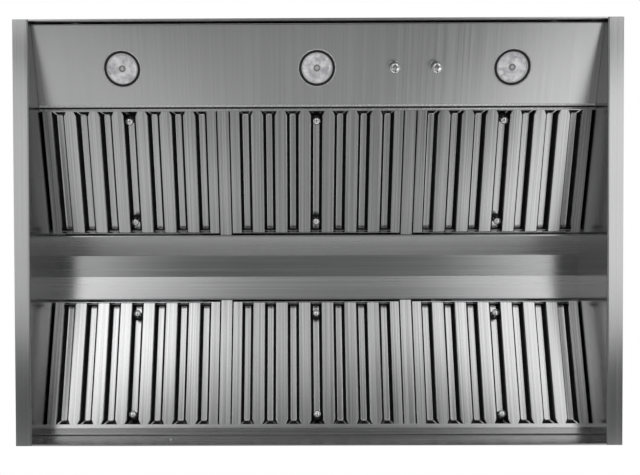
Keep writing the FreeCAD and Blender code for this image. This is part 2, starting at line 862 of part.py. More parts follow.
def scroll_housing(side):
    a = side * scroll_inner_x
    b = side * (scroll_inner_x + scroll_width)
    x0 = min(a, b)
    x1 = max(a, b)
    outer = prism_x(scroll_outline(0.0), x0, x1)
    inner = prism_x(scroll_outline(scroll_sheet), x0 + scroll_sheet, x1 - scroll_sheet)
    inlet = many_sided(can_sides, inlet_diameter / 2, -scroll_width, scroll_width)
    inlet.rotate(origin, vec(0, 1, 0), 90)
    inlet.translate(vec((x0 + x1) / 2, box_y, rotor_z))
    return outer.cut([inner, inlet])


def blower_wheel(side):
    """Double-inlet wheel: leaning blades between two rings, carried by a centre plate and a hub."""
    r = wheel_diameter / 2
    r_in = wheel_inner / 2
    half = wheel_width / 2
    lean = math.radians(blade_lean)
    tip = r - blade_inset
    lap = r_in - blade_overlap
    line = [(r_in, 0.0), (tip * math.cos(lean), tip * math.sin(lean))]
    outline = line + offset_path(line, blade_sheet)[::-1]
    blade = prism([vec(px, py, -half + ring_height / 2) for px, py in outline],
                  vec(0, 0, wheel_width - ring_height))
    blades = []
    for i in range(blade_count):
        copy = blade.copy()
        copy.rotate(origin, up, 360.0 * i / blade_count)
        blades.append(copy)
    ends = [faceted([(lap, h), (r, h), (r, h + ring_height), (lap, h + ring_height)], blade_count)
            for h in (-half, half - ring_height)]
    plate = many_sided(blade_count, r_in + 2 * blade_overlap, -plate_height / 2, plate_height / 2)
    hub = many_sided(small_sides, hub_diameter / 2, -hub_length / 2, hub_length / 2)
    bore = many_sided(small_sides, outside(rotor_shaft / 2, small_sides), -half, half)
    wheel = fused([hub, plate] + ends + blades).cut(bore)
    wheel.rotate(origin, vec(0, 1, 0), 90)
    wheel.translate(vec(side * (scroll_inner_x + scroll_width / 2), box_y, rotor_z))
    return wheel


def rotor_rod():
    reach = scroll_inner_x + scroll_width - rotor_end_gap
    return rod(vec(-reach, box_y, rotor_z), vec(reach, box_y, rotor_z), rotor_shaft)


def blower_motor():
    r = motor_diameter / 2
    h = motor_length / 2
    bore = outside(rotor_shaft / 2 + rotor_fit, motor_sides)
    half = [(bore, h), (motor_nose / 2, h), (motor_boss / 2, h - boss_length),
            (r - motor_shoulder, h - motor_shoulder), (r, h - motor_dome)]
    body = faceted([(radius, -level) for radius, level in half] + half[::-1], motor_sides)
    body.rotate(origin, vec(0, 1, 0), 90)
    body.translate(vec(0, box_y, rotor_z))
    return body


def motor_bracket():
    """Two straps that pass under the motor and hang it from the discharge plate."""
    r = motor_diameter / 2
    path = [(box_y + r + strap_foot, plate_z), (box_y + r, plate_z)]
    for i in range(motor_sides // 2 + 1):
        angle = 2 * math.pi * i / motor_sides
        path.append((box_y + r * math.cos(angle), rotor_z - r * math.sin(angle)))
    path += [(box_y - r, plate_z), (box_y - r - strap_foot, plate_z)]
    outline = path + offset_path(path, strap_sheet)[::-1]
    reach = motor_length / 4 - strap_inset
    return [prism_x(outline, x - strap_width / 2, x + strap_width / 2) for x in (-reach, reach)]


def run_capacitor():
    """Motor capacitor with its strap foot on the front wall of the blower box."""
    y = box_y - box_depth / 2 + box_sheet
    z = rotor_z + capacitor_lift
    can = many_sided(can_sides, capacitor_diameter / 2, -capacitor_length / 2, capacitor_length / 2)
    can.rotate(origin, vec(0, 1, 0), 90)
    can.translate(vec(0, y + capacitor_stand, z))
    half = capacitor_foot / 2
    foot = block(-half, half, y, y + capacitor_stand, z - half, z + half)
    return can.fuse(foot).removeSplitter()


# ---- duct collar and dampers ----

def duct_collar():
    """Round spigot on a square flange, with two stops that the shut flaps rest on."""
    r = collar_diameter / 2
    half = r + collar_flange
    flange = block(-half, half, -half, half, 0, collar_sheet)
    spigot = rod(vec(0, 0, 0), vec(0, 0, collar_height), collar_diameter)
    bore = many_sided(collar_sides, r - collar_sheet, -over, collar_height + over)
    pin_hole = many_sided(pin_sides, damper_rod / 2 + pin_fit, -r - over, r + over)
    pin_hole.rotate(origin, vec(0, 1, 0), 90)
    pin_hole.translate(vec(0, 0, damper_lift))
    stop_top = damper_lift - damper_sheet / 2 - stop_gap
    stops = []
    for side in (-1, 1):
        y = side * (r - collar_sheet)
        inner = y - side * stop_length
        stops.append(block(-stop_width / 2, stop_width / 2, min(y, inner), max(y, inner),
                           stop_top - stop_sheet, stop_top))
    body = fused([flange.fuse(spigot).cut([bore, pin_hole])] + stops)
    body.translate(vec(0, box_y, lid_top))
    return body


def damper_pin():
    r = collar_diameter / 2 - collar_sheet / 2
    return rod(vec(-r, box_y, damper_z), vec(r, box_y, damper_z), damper_rod)


def damper_flap(side):
    """Half-round flap with two rolled knuckles on the rod; flat when shut."""
    r = collar_diameter / 2 - collar_sheet - damper_rim_gap
    knuckle = damper_knuckle / 2
    half = damper_sheet / 2
    disc = many_sided(collar_sides, r, -half, half)
    near = side * (knuckle + knuckle_gap)
    far = side * (r + over)
    leaf = near + side * knuckle_leaf
    keep = block(-r - over, r + over, min(near, far), max(near, far), -half - over, half + over)
    pieces = [disc.common(keep)]
    first = -knuckle_start if side < 0 else knuckle_shift - knuckle_start
    for x0 in (first, first + knuckle_pitch):
        x1 = x0 + knuckle_length
        curl = many_sided(pin_sides, knuckle, x0, x1)
        curl.rotate(origin, vec(0, 1, 0), 90)
        pieces.append(curl)
        pieces.append(block(x0, x1, min(0, leaf), max(0, leaf), -half, half))
    bore = many_sided(pin_sides, outside(damper_rod / 2 + damper_fit, pin_sides), -r, r)
    bore.rotate(origin, vec(0, 1, 0), 90)
    flap = fused(pieces).cut(bore)
    flap.translate(vec(0, box_y, damper_z))
    return flap


# ---- wiring box ----

def wiring_box_shell():
    half = wiring_box / 2
    g = wiring_box_sheet
    outer = block(-half, half, -half, half, 0, wiring_box_height)
    middle = wiring_box_height / 2
    inner = block(g - half, half - g, g - half, half - g, g, wiring_box_height + over)
    feed = rod(vec(-half - over, 0, middle), vec(g - half + over, 0, middle), cable_hole)
    down = many_sided(small_sides, cable_hole / 2, -over, g + over)
    shell = outer.cut([inner, feed, down])
    shell.translate(vec(wiring_box_x, wiring_box_y, body_height))
    return shell


def wiring_box_cover():
    half = wiring_box / 2
    g = wiring_box_sheet
    plate = block(-half, half, -half, half, 0, g)
    lips = [block(half, half + g, -half, half, -wiring_box_lip, g),
            block(-half - g, -half, -half, half, -wiring_box_lip, g)]
    cover = fused([plate] + lips)
    cover.translate(vec(wiring_box_x, wiring_box_y, body_height + wiring_box_height))
    return cover


def mirrored(shape):
    return shape.mirror(origin, vec(1, 0, 0))


def collect_parts():
    left = side_panel()
    parts = {
        "side_panel_left": [left],
        "side_panel_right": [mirrored(left)],
        "front_panel": [end_panel()],
        "rear_panel": [turned_round(end_panel())],
        "top_deck": [top_deck()],
        "body_screws": body_screws(),
        "light_panel": [light_panel()],
        "light_panel_brackets": panel_brackets(),
        "light_partition": [light_partition()],
        "rear_gutter": [rear_gutter()],
        "centre_trough": [centre_trough()],
        "filter_mullions": filter_mullions(),
        "filter_catches": filter_catches(),
        "fan_knob": [on_panel(control_knob(), fan_knob_x, knob_y)],
        "fan_knob_shaft": [on_panel(control_shaft(), fan_knob_x, knob_y)],
        "fan_switch": [on_panel(control_switch(), fan_knob_x, knob_y)],
        "light_knob": [on_panel(control_knob(), light_knob_x, knob_y)],
        "light_knob_shaft": [on_panel(control_shaft(), light_knob_x, knob_y)],
        "light_switch": [on_panel(control_switch(), light_knob_x, knob_y)],
        "blower_box": [blower_box()],
        "blower_lid": [blower_lid()],
        "discharge_plate": [discharge_plate()],
        "scroll_left": [scroll_housing(-1)],
        "scroll_right": [scroll_housing(1)],
        "blower_wheel_left": [blower_wheel(-1)],
        "blower_wheel_right": [blower_wheel(1)],
        "blower_shaft": [rotor_rod()],
        "blower_motor": [blower_motor()],
        "motor_bracket": motor_bracket(),
        "run_capacitor": [run_capacitor()],
        "duct_collar": [duct_collar()],
        "damper_rod": [damper_pin()],
        "damper_flap_front": [damper_flap(-1)],
        "damper_flap_rear": [damper_flap(1)],
        "wiring_box": [wiring_box_shell()],
        "wiring_box_cover": [wiring_box_cover()],
    }
    frame = filter_frame()
    baffles = filter_baffles()
    pulls = filter_pulls()
    for column, x in zip(("left", "middle", "right"), row_offsets()):
        for row in ("front", "rear"):
            name = "filter_" + row + "_" + column
            rear = row == "rear"
            parts[name + "_frame"] = seat_filter([frame], x, rear)
            parts[name + "_baffles"] = seat_filter(baffles, x, rear)
            parts[name + "_pulls"] = seat_filter(pulls, x, rear)
    parts["lamp_trims"] = [on_panel(lamp_trim(), x, lamp_y) for x in lamp_spots]
    parts["lamp_glasses"] = [on_panel(lamp_glass(), x, lamp_y) for x in lamp_spots]
    parts["lamp_cans"] = [on_panel(lamp_can(), x, lamp_y) for x in lamp_spots]
    parts["lamp_reflectors"] = [on_panel(lamp_reflector(), x, lamp_y) for x in lamp_spots]
    parts["lamp_leds"] = [on_panel(lamp_led(), x, lamp_y) for x in lamp_spots]
    return parts


def write_parts(parts):
    for name, solids in parts.items():
        shape = solids[0] if len(solids) == 1 else Part.makeCompound(solids)
        shape.exportStep("parts/" + name + ".step")
    print(len(parts), "parts written")


write_parts(collect_parts())
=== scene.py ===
import json
import math

import bmesh
import bpy
from mathutils import Euler, Matrix, Vector


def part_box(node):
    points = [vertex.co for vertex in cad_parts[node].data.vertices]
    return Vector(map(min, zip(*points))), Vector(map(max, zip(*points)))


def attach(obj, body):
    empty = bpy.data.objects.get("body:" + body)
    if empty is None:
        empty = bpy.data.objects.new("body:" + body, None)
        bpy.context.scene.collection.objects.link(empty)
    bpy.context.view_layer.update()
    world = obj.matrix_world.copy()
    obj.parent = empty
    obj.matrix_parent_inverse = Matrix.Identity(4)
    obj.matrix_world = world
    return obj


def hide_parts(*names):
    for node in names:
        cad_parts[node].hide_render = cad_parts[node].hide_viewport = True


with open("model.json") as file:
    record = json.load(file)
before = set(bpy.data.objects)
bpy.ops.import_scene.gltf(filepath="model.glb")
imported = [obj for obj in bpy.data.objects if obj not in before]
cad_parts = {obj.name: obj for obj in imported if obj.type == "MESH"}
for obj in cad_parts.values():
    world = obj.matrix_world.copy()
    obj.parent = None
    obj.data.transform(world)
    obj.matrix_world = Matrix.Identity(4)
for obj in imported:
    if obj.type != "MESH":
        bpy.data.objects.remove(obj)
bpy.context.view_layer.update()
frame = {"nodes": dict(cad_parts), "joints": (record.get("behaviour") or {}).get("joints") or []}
jointPlaces = {joint["name"]: Vector(joint["pos_m"]) for joint in frame["joints"]}
bpy.context.scene.view_settings.view_transform = "Standard"
print("frame loaded:", len(frame["nodes"]), "nodes")


# it stands below the hood and looks up into it
cameraSetup = {
    "place": (-0.0411, 0.0111, -1.6768),
    "turnDegrees": (178.715, -0.357, 0.186),
    "lens": 55.97,
    "sensorWidth": 36.0,
    "shiftX": 0.0508,
    "shiftY": 0.0379,
    "clipEnd": 50.0,
}


def setCamera():
    data = bpy.data.cameras.new("photoCamera")
    data.lens = cameraSetup["lens"]
    data.sensor_width = cameraSetup["sensorWidth"]
    data.shift_x = cameraSetup["shiftX"]
    data.shift_y = cameraSetup["shiftY"]
    data.clip_end = cameraSetup["clipEnd"]
    camera = bpy.data.objects.new("photoCamera", data)
    bpy.context.scene.collection.objects.link(camera)
    camera.location = cameraSetup["place"]
    camera.rotation_euler = Euler([math.radians(a) for a in cameraSetup["turnDegrees"]], "XYZ")
    bpy.context.scene.camera = camera


def addNode(tree, kind, **values):
    node = tree.nodes.new(kind)
    for key, value in values.items():
        setattr(node, key, value)
    return node


def newMaterial(name):
    material = bpy.data.materials.new(name)
    material.use_nodes = True
    tree = material.node_tree
    return material, tree, tree.nodes["Principled BSDF"]


studio = {
    "floorHeight": -3.2,
    "floorSize": 14.0,
    "floorColour": (0.80, 0.80, 0.80, 1),
    "floorRough": 0.9,
    "floorShown": 0.72,         # how pale the camera sees the floor
    "roomColour": (0.95, 0.97, 1.0, 1),
    "roomStrength": 0.11,       # light from all round
    "whiteColour": (1, 1, 1, 1),
    "whiteStrength": 1.0,       # what the camera, metal and glass see behind the hood
}

# the low ones lie near the floor and show in the steel as bright sides with a dim middle
softboxes = {
    "frontLeft": {"place": (-1.45, -1.95, -2.9), "aim": (-1.2, -1.7, 0.0),
                  "size": (1.3, 1.6), "power": 11.0},
    "frontRight": {"place": (1.55, -1.95, -2.9), "aim": (1.3, -1.7, 0.0),
                   "size": (1.3, 1.6), "power": 9.6},
    "frontMiddle": {"place": (-0.1, -2.0, -2.95), "aim": (0.0, -1.8, 0.0),
                    "size": (1.6, 1.0), "power": 2.4},
    "middleLeft": {"place": (-1.60, -0.30, -2.9), "aim": (-1.4, -0.2, 0.0),
                   "size": (1.2, 1.6), "power": 4.2},
    "middleRight": {"place": (1.70, -0.30, -2.9), "aim": (1.5, -0.2, 0.0),
                    "size": (1.2, 1.6), "power": 6.2},
    "rearLeft": {"place": (-1.50, 2.05, -2.9), "aim": (-1.3, 1.9, 0.0),
                 "size": (1.5, 1.7), "power": 4.6},
    "rearMiddle": {"place": (-0.1, 2.05, -2.95), "aim": (-0.1, 1.9, 0.0),
                   "size": (1.3, 1.6), "power": 1.5},
    "rearRight": {"place": (1.90, 2.05, -2.9), "aim": (1.6, 1.9, 0.0),
                  "size": (1.5, 1.7), "power": 9.6},
    "rearFar": {"place": (0.0, 5.0, -2.3), "aim": (0.0, 0.0, 0.1),
                "size": (5.0, 1.2), "power": 8.0},
    "top": {"place": (0.6, -1.2, 2.6), "aim": (0.0, 0.0, 0.2),
            "size": (2.4, 2.4), "power": 24.0},
}


def makeWorld():
    world = bpy.data.worlds.new("paleRoom")
    bpy.context.scene.world = world
    world.use_nodes = True
    tree = world.node_tree
    tree.nodes.clear()
    room = addNode(tree, "ShaderNodeBackground")
    room.inputs["Color"].default_value = studio["roomColour"]
    room.inputs["Strength"].default_value = studio["roomStrength"]
    white = addNode(tree, "ShaderNodeBackground")
    white.inputs["Color"].default_value = studio["whiteColour"]
    white.inputs["Strength"].default_value = studio["whiteStrength"]
    path = addNode(tree, "ShaderNodeLightPath")
    either = addNode(tree, "ShaderNodeMath", operation="MAXIMUM")
    tree.links.new(path.outputs["Is Camera Ray"], either.inputs[0])
    tree.links.new(path.outputs["Is Glossy Ray"], either.inputs[1])
    seen = addNode(tree, "ShaderNodeMath", operation="MAXIMUM")
    tree.links.new(either.outputs[0], seen.inputs[0])
    tree.links.new(path.outputs["Is Transmission Ray"], seen.inputs[1])
    mix = addNode(tree, "ShaderNodeMixShader")
    tree.links.new(seen.outputs[0], mix.inputs["Fac"])
    tree.links.new(room.outputs[0], mix.inputs[1])
    tree.links.new(white.outputs[0], mix.inputs[2])
    out = addNode(tree, "ShaderNodeOutputWorld")
    tree.links.new(mix.outputs[0], out.inputs["Surface"])


def makeFloor():
    bpy.ops.object.select_all(action="DESELECT")
    bpy.ops.mesh.primitive_plane_add(size=studio["floorSize"],
                                     location=(0, 0, studio["floorHeight"]))
    floor = bpy.context.object
    floor.name = "paleFloor"
    paint, tree, shader = newMaterial("floorPaint")
    shader.inputs["Base Color"].default_value = studio["floorColour"]
    shader.inputs["Roughness"].default_value = studio["floorRough"]
    shader.inputs["Emission Color"].default_value = studio["whiteColour"]
    path = addNode(tree, "ShaderNodeLightPath")
    shown = addNode(tree, "ShaderNodeMath", operation="MULTIPLY")
    shown.inputs[1].default_value = studio["floorShown"]
    tree.links.new(path.outputs["Is Camera Ray"], shown.inputs[0])
    tree.links.new(shown.outputs[0], shader.inputs["Emission Strength"])
    floor.data.materials.append(paint)


def makeLights():
    for name, box in softboxes.items():
        data = bpy.data.lights.new(name + "Softbox", "AREA")
        data.shape = "RECTANGLE"
        data.size, data.size_y = box["size"]
        data.energy = box["power"]
        lamp = bpy.data.objects.new(name + "Softbox", data)
        bpy.context.scene.collection.objects.link(lamp)
        lamp.location = box["place"]
        aim = Vector(box["aim"]) - Vector(box["place"])
        lamp.rotation_euler = aim.to_track_quat("-Z", "Y").to_euler()
        lamp.visible_camera = False


setCamera()
makeWorld()
makeFloor()
makeLights()
print("camera, floor and lights set")


def scaledCoords(tree, scale):
    coords = addNode(tree, "ShaderNodeTexCoord")
    mapping = addNode(tree, "ShaderNodeMapping")
    mapping.inputs["Scale"].default_value = scale
    tree.links.new(coords.outputs["Object"], mapping.inputs["Vector"])
    return mapping.outputs["Vector"]


def evenCoords(tree, scale):
    return scaledCoords(tree, (scale, scale, scale))


# its scale is that of the coordinates
def noiseOn(tree, vector, detail=3.0, roughness=0.6):
    noise = addNode(tree, "ShaderNodeTexNoise")
    noise.inputs["Scale"].default_value = 1.0
    noise.inputs["Detail"].default_value = detail
    noise.inputs["Roughness"].default_value = roughness
    tree.links.new(vector, noise.inputs["Vector"])
    return noise.outputs["Fac"]


# most of what a noise gives lies between 0.3 and 0.7
def spread(tree, value, low, high, fromLow=0.3, fromHigh=0.7):
    span = addNode(tree, "ShaderNodeMapRange")
    span.inputs["From Min"].default_value = fromLow
    span.inputs["From Max"].default_value = fromHigh
    span.inputs["To Min"].default_value = low
    span.inputs["To Max"].default_value = high
    tree.links.new(value, span.inputs["Value"])
    return span.outputs["Result"]


def blendColours(tree, factor, dark, light):
    mix = addNode(tree, "ShaderNodeMix", data_type="RGBA")
    mix.inputs["A"].default_value = dark
    mix.inputs["B"].default_value = light
    tree.links.new(factor, mix.inputs["Factor"])
    return mix.outputs["Result"]


def grey(level):
    return (level, level, level, 1)


# a tangent that lies across the brushing and turns with its piece
def acrossGrain(tree, direction):
    parts = addNode(tree, "ShaderNodeCombineXYZ")
    for i in range(3):
        parts.inputs[i].default_value = direction[i]
    turn = addNode(tree, "ShaderNodeVectorTransform", vector_type="VECTOR")
    turn.convert_from = "OBJECT"
    turn.convert_to = "WORLD"
    tree.links.new(parts.outputs[0], turn.inputs[0])
    return turn.outputs[0]


grainSetup = {
    "fine": 900.0,              # streaks across the grain, per metre
    "fineLong": 3.0,            # and along it
    "fineShare": 0.6,
    "broad": 380.0,
    "broadLong": 1.5,
    "broadRange": (0.35, 0.65),
    "broadShare": 0.4,
    "streakRange": (0.25, 0.75),
    "smoother": 0.03,           # how far the roughness falls and rises with the streaks
    "rougher": 0.04,
    "cloud": 6.0,               # soft patches, per metre
    "cloudRough": 0.012,
    "reliefDepth": 0.0001,
}


# crossing holds a 1 for each direction that the streaks follow one another in
def brushedSteel(name, crossing, values):
    g = grainSetup
    material, tree, shader = newMaterial(name)
    fineScale = [g["fine"] if c else g["fineLong"] for c in crossing]
    broadScale = [g["broad"] if c else g["broadLong"] for c in crossing]
    fine = noiseOn(tree, scaledCoords(tree, fineScale))
    broad = noiseOn(tree, scaledCoords(tree, broadScale), detail=2.0, roughness=0.5)
    cloud = noiseOn(tree, evenCoords(tree, g["cloud"]), detail=2.0, roughness=0.5)
    both = addNode(tree, "ShaderNodeMath", operation="MULTIPLY_ADD")
    both.inputs[1].default_value = g["fineShare"]
    tree.links.new(fine, both.inputs[0])
    tree.links.new(spread(tree, broad, 0.0, g["broadShare"], *g["broadRange"]), both.inputs[2])
    streak = both.outputs[0]
    shade = spread(tree, streak, 0.0, 1.0, *g["streakRange"])
    colour = blendColours(tree, shade, values["dark"], values["light"])
    tree.links.new(colour, shader.inputs["Base Color"])
    least = values["rough"] - g["smoother"]
    most = values["rough"] + g["rougher"]
    rough = addNode(tree, "ShaderNodeMath", operation="ADD")
    tree.links.new(spread(tree, streak, least, most, *g["streakRange"]), rough.inputs[0])
    tree.links.new(spread(tree, cloud, -g["cloudRough"], g["cloudRough"]), rough.inputs[1])
    tree.links.new(rough.outputs[0], shader.inputs["Roughness"])
    shader.inputs["Metallic"].default_value = 1.0
    shader.inputs["Anisotropic"].default_value = values["stretch"]
    tree.links.new(acrossGrain(tree, values["across"]), shader.inputs["Tangent"])
    bump = addNode(tree, "ShaderNodeBump")
    bump.inputs["Strength"].default_value = values["relief"]
    bump.inputs["Distance"].default_value = g["reliefDepth"]
    tree.links.new(fine, bump.inputs["Height"])
    tree.links.new(bump.outputs["Normal"], shader.inputs["Normal"])
    return material


innerWallShadeSetup = {
    # painted shade on the inner walls: how much colour it leaves, and the facings at which it is
    # full and at which it ends
    "share": 0.42,              # how much of the colour is left
    "fullShadeFacing": -0.40,              # x times the facing along X: near -0.5 on an inward face
    "clear": -0.10,
}


# painted shade: the side walls' faces that look at each other get their colour darkened, standing
# for the shade inside the hood
def paintShadeOnInnerWalls(material):
    d = innerWallShadeSetup
    tree = material.node_tree
    shader = tree.nodes["Principled BSDF"]
    place = addNode(tree, "ShaderNodeSeparateXYZ")
    tree.links.new(addNode(tree, "ShaderNodeTexCoord").outputs["Object"], place.inputs[0])
    facing = addNode(tree, "ShaderNodeSeparateXYZ")
    tree.links.new(addNode(tree, "ShaderNodeTexCoord").outputs["Normal"], facing.inputs[0])
    inward = addNode(tree, "ShaderNodeMath", operation="MULTIPLY")
    tree.links.new(place.outputs["X"], inward.inputs[0])
    tree.links.new(facing.outputs["X"], inward.inputs[1])
    level = spread(tree, inward.outputs[0], d["share"], 1.0, d["fullShadeFacing"], d["clear"])
    darker = addNode(tree, "ShaderNodeVectorMath", operation="SCALE")
    tree.links.new(shader.inputs["Base Color"].links[0].from_socket, darker.inputs[0])
    tree.links.new(level, darker.inputs["Scale"])
    tree.links.new(darker.outputs[0], shader.inputs["Base Color"])


# smudges on it change its own level and roughness by these shares
plainSetup = {
    "smudge": 200.0,            # per metre
    "dark": 0.9,
    "light": 1.06,
    "smooth": 0.8,
    "rough": 1.25,
}


def plainMetal(name, level, rough):
    p = plainSetup
    material, tree, shader = newMaterial(name)
    smudge = noiseOn(tree, evenCoords(tree, p["smudge"]))
    colour = blendColours(tree, spread(tree, smudge, 0.0, 1.0),
                          grey(level * p["dark"]), grey(level * p["light"]))
    tree.links.new(colour, shader.inputs["Base Color"])
    tree.links.new(spread(tree, smudge, rough * p["smooth"], rough * p["rough"]),
                   shader.inputs["Roughness"])
    shader.inputs["Metallic"].default_value = 1.0
    return material


zincSetup = {
    "crystals": 110.0,          # per metre
    "dark": (0.50, 0.53, 0.56, 1),
    "light": (0.66, 0.69, 0.71, 1),
    "rough": (0.34, 0.52),
}


def galvanised():
    z = zincSetup
    material, tree, shader = newMaterial("galvanisedSheet")
    cells = addNode(tree, "ShaderNodeTexVoronoi")
    cells.inputs["Scale"].default_value = 1.0
    tree.links.new(evenCoords(tree, z["crystals"]), cells.inputs["Vector"])
    split = addNode(tree, "ShaderNodeSeparateColor")
    tree.links.new(cells.outputs["Color"], split.inputs[0])
    shade = split.outputs[0]
    tree.links.new(blendColours(tree, shade, z["dark"], z["light"]), shader.inputs["Base Color"])
    tree.links.new(spread(tree, shade, *z["rough"], 0.0, 1.0), shader.inputs["Roughness"])
    shader.inputs["Metallic"].default_value = 1.0
    return material


ringSetup = {
    "grit": 300.0,              # per metre
    "dark": 0.95,               # shares of the ring's own level
    "light": 1.03,
    "rough": (0.22, 0.32),
}


# the pale satin of the lamps' rings; the near-white one on the trims and the panel's hem is a
# painted highlight, standing for polished steel's bright reflections
def ringFinish(name, level, metallic):
    r = ringSetup
    material, tree, shader = newMaterial(name)
    grit = noiseOn(tree, evenCoords(tree, r["grit"]), detail=2.0)
    light = min(1.0, level * r["light"])
    colour = blendColours(tree, grit, grey(level * r["dark"]), grey(light))
    tree.links.new(colour, shader.inputs["Base Color"])
    tree.links.new(spread(tree, grit, *r["rough"]), shader.inputs["Roughness"])
    shader.inputs["Metallic"].default_value = metallic
    return material


plasticSetup = {
    "grit": 700.0,              # per metre
    "dark": 0.8,                # shares of the plastic's own level
    "light": 1.2,
    "rough": (0.42, 0.55),
}


def mouldedPlastic(name, level):
    p = plasticSetup
    material, tree, shader = newMaterial(name)
    grit = noiseOn(tree, evenCoords(tree, p["grit"]), detail=2.0)
    colour = blendColours(tree, grit, grey(level * p["dark"]), grey(level * p["light"]))
    tree.links.new(colour, shader.inputs["Base Color"])
    tree.links.new(spread(tree, grit, *p["rough"]), shader.inputs["Roughness"])
    return material


glassSetup = {
    "rippleAndPaintedReflection": 95.0,             # per metre
    "paintedReflectionRange": (0.36, 0.62),
    "dark": (0.60, 0.59, 0.62, 1),
    "light": (1.0, 1.0, 1.0, 1),
    "rough": (0.04, 0.22),
    "clear": 0.30,
    # painted glow of the lens, though its lamp is unlit
    "paintedGlow": 0.16,
    "bend": 1.5,
}


# painted light: the lens glows though its lamp gives no light, and the blotches in its colour and
# glow are a painted reflection
def lensGlass():
    g = glassSetup
    material, tree, shader = newMaterial("lensGlass")
    rippleAndPaintedReflection = noiseOn(tree, evenCoords(tree, g["rippleAndPaintedReflection"]), roughness=0.55)
    shade = spread(tree, rippleAndPaintedReflection, 0.0, 1.0, *g["paintedReflectionRange"])
    colour = blendColours(tree, shade, g["dark"], g["light"])
    tree.links.new(colour, shader.inputs["Base Color"])
    tree.links.new(colour, shader.inputs["Emission Color"])
    tree.links.new(spread(tree, rippleAndPaintedReflection, *g["rough"]), shader.inputs["Roughness"])
    shader.inputs["Emission Strength"].default_value = g["paintedGlow"]
    shader.inputs["Transmission Weight"].default_value = g["clear"]
    shader.inputs["IOR"].default_value = g["bend"]
    return material


sourceSetup = {
    "speck": 500.0,             # per metre
    "dark": (0.86, 0.84, 0.76, 1),
    "light": (0.98, 0.96, 0.90, 1),
    "rough": 0.5,
}


def lightSource():
    s = sourceSetup
    material, tree, shader = newMaterial("frostedSource")
    speck = noiseOn(tree, evenCoords(tree, s["speck"]), detail=2.0)
    tree.links.new(blendColours(tree, speck, s["dark"], s["light"]), shader.inputs["Base Color"])
    shader.inputs["Roughness"].default_value = s["rough"]
    return material


steelTones = {
    "sheet": {"dark": grey(0.51), "light": grey(0.60),
              "rough": 0.24, "stretch": 0.6, "relief": 0.10},
    "filter": {"dark": grey(0.42), "light": grey(0.66),
               "rough": 0.20, "stretch": 0.45, "relief": 0.10},
    # painted shade: near-black steel for the filters' faces that turn into the slots
    "inside": {"dark": grey(0.045), "light": grey(0.07),
               "rough": 0.45, "stretch": 0.2, "relief": 0.05},
}


def tone(name, across, **changes):
    values = dict(steelTones[name])
    values["across"] = across
    values.update(changes)
    return values


crosswise = brushedSteel("steelBrushedAcross", (0, 1, 1), tone("sheet", (0, 1, 0)))
panelSteel = brushedSteel("steelLightPanel", (1, 0, 0),
                          tone("sheet", (1, 0, 0), dark=grey(0.545), light=grey(0.60), rough=0.22))
flangeSteel = brushedSteel("steelSideWalls", (1, 0, 1), tone("sheet", (1, 0, 0), rough=0.18))
# painted shade on the side walls' inner faces
paintShadeOnInnerWalls(flangeSteel)
filterSteel = brushedSteel("filterSteel", (1, 0, 0), tone("filter", (1, 0, 0)))
# painted shade for the filters' legs and the covers' sloped sides
filterPaintedShade = brushedSteel("filterPaintedShadeSteel", (1, 0, 1), tone("inside", (1, 0, 0)))
polished = plainMetal("polishedSteel", 0.86, 0.12)
brightSteel = plainMetal("brightSteel", 0.62, 0.28)
aluminium = plainMetal("lampAluminium", 0.70, 0.35)
mirrorMetal = plainMetal("reflectorMetal", 0.90, 0.08)
# painted highlight: near-white and mostly unmetallic, for the lamp trims and the panel's hem
paintedHighlightSteel = ringFinish("paintedHighlightSteel", 0.96, 0.30)
glassRim = ringFinish("glassRim", 0.97, 0.0)
shadedGlass = ringFinish("shadedGlass", 0.42, 0.0)
zincSheet = galvanised()
blackPlastic = mouldedPlastic("switchPlastic", 0.03)
blackRubber = mouldedPlastic("lampGasketRubber", 0.015)
motorPaint = mouldedPlastic("motorEnamel", 0.06)
glass = lensGlass()
source = lightSource()


finishes = {
    "side_panel_left": flangeSteel,
    "side_panel_right": flangeSteel,
    "light_panel": panelSteel,
    "light_partition": crosswise,
    "light_panel_brackets": crosswise,
    "centre_trough": crosswise,
    "rear_gutter": crosswise,
    "front_panel": crosswise,
    "rear_panel": crosswise,
    "fan_knob": polished,
    "light_knob": polished,
    "lamp_trims": polished,
    "lamp_cans": aluminium,
    "lamp_reflectors": mirrorMetal,
    "lamp_glasses": glass,
    "lamp_leds": source,
    "fan_switch": blackPlastic,
    "light_switch": blackPlastic,
    "fan_knob_shaft": brightSteel,
    "light_knob_shaft": brightSteel,
    "body_screws": brightSteel,
    "filter_catches": brightSteel,
    "blower_shaft": brightSteel,
    "damper_rod": brightSteel,
    "blower_motor": motorPaint,
    "run_capacitor": aluminium,
}


# the rest of the filters is filter steel, and what the rim hides is zinc sheet
def finishOf(node):
    if node in finishes:
        return finishes[node]
    if node.endswith("_pulls"):
        return polished
    if node.startswith("filter_"):
        return filterSteel
    return zincSheet


def dressNodes():
    for name, piece in frame["nodes"].items():
        piece.data.materials.clear()
        piece.data.materials.append(finishOf(name))


dressNodes()
print("frame nodes dressed")


meshSetup = {
    "near": 1e-5,               # closer than this is the same place
    "merge": 1e-6,
    "smoothDegrees": 35.0,      # sharper edges stay sharp
    "roundSteps": 3,
}


def clearSelection():
    if bpy.context.object and bpy.context.object.mode != "OBJECT":
        bpy.ops.object.mode_set(mode="OBJECT")
    bpy.ops.object.select_all(action="DESELECT")


def startBlock(name, low, high):
    clearSelection()
    middle = [(a + b) / 2 for a, b in zip(low, high)]
    bpy.ops.mesh.primitive_cube_add(size=1, location=middle)
    piece = bpy.context.object
    piece.name = name
    piece.scale = [b - a for a, b in zip(low, high)]
    bpy.ops.object.transform_apply(location=True, rotation=True, scale=True)
    bpy.ops.object.mode_set(mode="EDIT")
    return piece


